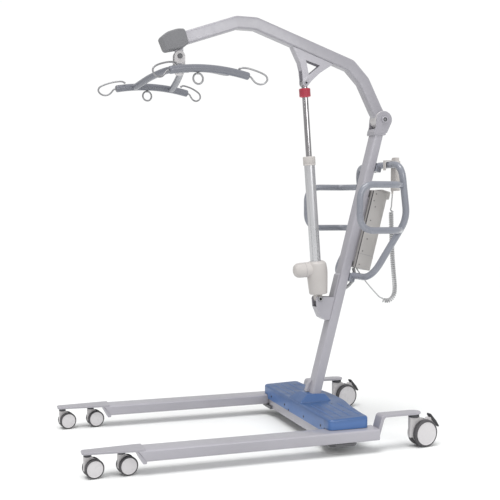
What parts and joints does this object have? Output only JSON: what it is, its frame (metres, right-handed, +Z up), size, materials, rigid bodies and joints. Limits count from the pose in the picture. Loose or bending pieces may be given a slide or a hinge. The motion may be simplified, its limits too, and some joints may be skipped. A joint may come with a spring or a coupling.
{
  "type": "patient lift hoist",
  "caption": "Mobile patient lift: low wheeled base with spreading legs, leaning mast, powered boom and a spreader frame with sling hooks.",
  "frame": {"origin": "on the floor under the middle of the base's footprint", "axes": "+Z up, -X forward, the way the legs and the boom reach, +Y the hoist's right seen by the person who pushes it"},
  "size_m": [1.3147, 0.762, 1.585],
  "materials": {
    "frame_paint": "satin light lavender-grey powder coat",
    "dark_paint": "satin blue-grey powder coat",
    "pad_grey": "matt grey moulded cap",
    "cover_blue": "satin blue moulding",
    "black_parts": "matt black",
    "light_plastic": "satin near-white moulding",
    "castor_wheels": "dark grey tread with light side discs",
    "housing_beige": "satin warm off-white moulding",
    "bright_steel": "zinc-plated steel",
    "rod_chrome": "polished",
    "tube_satin": "satin anodised",
    "signal_red": "satin red",
    "cord_grey": "light grey sheath"
  },
  "bodies": {
    "base": {"crossbeam": "frame_paint", "base_cover": "cover_blue", "mast": "frame_paint", "actuator_bracket": "frame_paint", "lower_pin": "bright_steel", "boom_pivot_bolt": "bright_steel", "leg_pivot_bolt_left": "black_parts", "leg_pivot_bolt_right": "black_parts", "pivot_plate_left": "black_parts", "pivot_plate_right": "black_parts", "handle_left": "dark_paint", "handle_right": "dark_paint", "box_bracket": "bright_steel", "control_box": "housing_beige", "handset": "housing_beige", "handset_cord_upper": "cord_grey", "handset_cord_curl": "cord_grey", "handset_cord_lower": "cord_grey", "actuator_cable": "cord_grey"},
    "leg_left": {"leg_left": "frame_paint"},
    "leg_right": {"leg_right": "frame_paint"},
    "boom": {"boom": "frame_paint", "boom_gusset": "frame_paint", "boom_end_pad": "pad_grey", "hanger_bolt": "bright_steel"},
    "hanger": {"hanger_fork": "light_plastic"},
    "spreader": {"spreader_frame": "dark_paint", "spreader_bar_left": "dark_paint", "spreader_bar_right": "dark_paint", "bar_ring_left": "bright_steel", "bar_ring_right": "bright_steel", "sling_hook_front_left": "bright_steel", "sling_hook_front_right": "bright_steel", "sling_hook_rear_left": "bright_steel", "sling_hook_rear_right": "bright_steel"},
    "actuator_barrel": {"motor_housing": "housing_beige", "outer_tube": "tube_satin", "tube_collar": "housing_beige"},
    "actuator_rod": {"rod": "rod_chrome", "upper_pin": "bright_steel"},
    "release_ring": {"release_ring": "signal_red"},
    "battery": {"battery": "housing_beige"},
    "emergency_stop": {"emergency_stop": "signal_red"},
    "button_up": {"handset_button_up": "black_parts"},
    "button_down": {"handset_button_down": "black_parts"},
    "castor_front_left_fork": {"castor_front_left_housing": "light_plastic"},
    "castor_front_left_wheel": {"castor_front_left_wheels": "castor_wheels"},
    "castor_front_right_fork": {"castor_front_right_housing": "light_plastic"},
    "castor_front_right_wheel": {"castor_front_right_wheels": "castor_wheels"},
    "castor_middle_left_fork": {"castor_middle_left_housing": "light_plastic"},
    "castor_middle_left_wheel": {"castor_middle_left_wheels": "castor_wheels"},
    "castor_middle_right_fork": {"castor_middle_right_housing": "light_plastic"},
    "castor_middle_right_wheel": {"castor_middle_right_wheels": "castor_wheels"},
    "castor_rear_left_fork": {"castor_rear_left_housing": "light_plastic"},
    "castor_rear_left_wheel": {"castor_rear_left_wheels": "castor_wheels"},
    "castor_rear_left_pedal": {"castor_rear_left_brake_pedal": "black_parts"},
    "castor_rear_right_fork": {"castor_rear_right_housing": "light_plastic"},
    "castor_rear_right_wheel": {"castor_rear_right_wheels": "castor_wheels"},
    "castor_rear_right_pedal": {"castor_rear_right_brake_pedal": "black_parts"}
  },
  "joints": [
    {"name": "boom_lift", "type": "hinge", "parent": "base", "child": "boom", "pos_m": [0.5772, 0, 1.2193], "axis": [0, 1, 0], "range_deg": [-38, 11]},
    {"name": "actuator_tilt", "type": "hinge", "parent": "base", "child": "actuator_barrel", "pos_m": [0.3107, 0, 0.5196], "axis": [0, 1, 0], "range_deg": [-4.3, 1.4]},
    {"name": "rod_slide", "type": "slide", "parent": "actuator_barrel", "child": "actuator_rod", "axis": [-0.0723, 0, 0.9974], "range_m": [-0.2235, 0.0655]},
    {"name": "release_ring_turn", "type": "hinge", "parent": "actuator_rod", "child": "release_ring", "pos_m": [0.2505, 0, 1.3496], "axis": [-0.0723, 0, 0.9974], "range_deg": [0, 60], "stiffness_Nm_per_rad": 0.3},
    {"name": "leg_left_spread", "type": "hinge", "parent": "base", "child": "leg_left", "pos_m": [0.259, -0.318, 0.066], "axis": [0, 0, 1], "range_deg": [0, 20]},
    {"name": "leg_right_spread", "type": "hinge", "parent": "base", "child": "leg_right", "pos_m": [0.259, 0.318, 0.066], "axis": [0, 0, 1], "range_deg": [-20, 0]},
    {"name": "hanger_swing", "type": "hinge", "parent": "boom", "child": "hanger", "pos_m": [-0.2437, 0, 1.425], "axis": [0, 1, 0], "range_deg": [-20, 42]},
    {"name": "spreader_swivel", "type": "hinge", "parent": "hanger", "child": "spreader", "pos_m": [-0.2437, 0, 1.38], "axis": [0, 0, 1], "continuous": true},
    {"name": "castor_front_left_swivel", "type": "hinge", "parent": "leg_left", "child": "castor_front_left_fork", "pos_m": [-0.6375, -0.342, 0.09], "axis": [0, 0, 1], "continuous": true},
    {"name": "castor_front_left_roll", "type": "hinge", "parent": "castor_front_left_fork", "child": "castor_front_left_wheel", "pos_m": [-0.61868, -0.33936, 0.032], "axis": [-0.1392, 0.9903, 0], "continuous": true},
    {"name": "castor_front_right_swivel", "type": "hinge", "parent": "leg_right", "child": "castor_front_right_fork", "pos_m": [-0.6375, 0.342, 0.09], "axis": [0, 0, 1], "continuous": true},
    {"name": "castor_front_right_roll", "type": "hinge", "parent": "castor_front_right_fork", "child": "castor_front_right_wheel", "pos_m": [-0.61868, 0.34464, 0.032], "axis": [-0.1392, 0.9903, 0], "continuous": true},
    {"name": "castor_middle_left_swivel", "type": "hinge", "parent": "leg_left", "child": "castor_middle_left_fork", "pos_m": [-0.527, -0.342, 0.09], "axis": [0, 0, 1], "continuous": true},
    {"name": "castor_middle_left_roll", "type": "hinge", "parent": "castor_middle_left_fork", "child": "castor_middle_left_wheel", "pos_m": [-0.50818, -0.33936, 0.032], "axis": [-0.1392, 0.9903, 0], "continuous": true},
    {"name": "castor_middle_right_swivel", "type": "hinge", "parent": "leg_right", "child": "castor_middle_right_fork", "pos_m": [-0.527, 0.342, 0.09], "axis": [0, 0, 1], "continuous": true},
    {"name": "castor_middle_right_roll", "type": "hinge", "parent": "castor_middle_right_fork", "child": "castor_middle_right_wheel", "pos_m": [-0.50818, 0.34464, 0.032], "axis": [-0.1392, 0.9903, 0], "continuous": true},
    {"name": "castor_rear_left_swivel", "type": "hinge", "parent": "leg_left", "child": "castor_rear_left_fork", "pos_m": [0.5455, -0.342, 0.12], "axis": [0, 0, 1], "continuous": true},
    {"name": "castor_rear_left_roll", "type": "hinge", "parent": "castor_rear_left_fork", "child": "castor_rear_left_wheel", "pos_m": [0.58511, -0.33643, 0.05], "axis": [-0.1392, 0.9903, 0], "continuous": true},
    {"name": "castor_rear_left_brake", "type": "hinge", "parent": "castor_rear_left_fork", "child": "castor_rear_left_pedal", "pos_m": [0.62571, -0.33073, 0.095], "axis": [-0.1392, 0.9903, 0], "range_deg": [0, 12]},
    {"name": "castor_rear_right_swivel", "type": "hinge", "parent": "leg_right", "child": "castor_rear_right_fork", "pos_m": [0.5455, 0.342, 0.12], "axis": [0, 0, 1], "continuous": true},
    {"name": "castor_rear_right_roll", "type": "hinge", "parent": "castor_rear_right_fork", "child": "castor_rear_right_wheel", "pos_m": [0.58511, 0.34757, 0.05], "axis": [-0.1392, 0.9903, 0], "continuous": true},
    {"name": "castor_rear_right_brake", "type": "hinge", "parent": "castor_rear_right_fork", "child": "castor_rear_right_pedal", "pos_m": [0.62571, 0.35327, 0.095], "axis": [-0.1392, 0.9903, 0], "range_deg": [0, 12]},
    {"name": "battery_lift", "type": "slide", "parent": "base", "child": "battery", "axis": [0.2514, 0, 0.9679], "range_m": [0, 0.06]},
    {"name": "emergency_stop_press", "type": "slide", "parent": "base", "child": "emergency_stop", "axis": [-0.9679, 0, 0.2514], "range_m": [0, 0.003], "stiffness_N_per_m": 1500},
    {"name": "button_up_press", "type": "slide", "parent": "base", "child": "button_up", "axis": [-1, 0, 0], "range_m": [0, 0.001], "stiffness_N_per_m": 600},
    {"name": "button_down_press", "type": "slide", "parent": "base", "child": "button_down", "axis": [-1, 0, 0], "range_m": [0, 0.001], "stiffness_N_per_m": 600}
  ],
  "couplings": [
    {"joint": "actuator_tilt", "follows": "boom_lift", "ratio": 0.1095},
    {"joint": "rod_slide", "follows": "boom_lift", "m_per_rad": 0.335},
    {"joint": "leg_right_spread", "follows": "leg_left_spread", "ratio": -1}
  ]
}
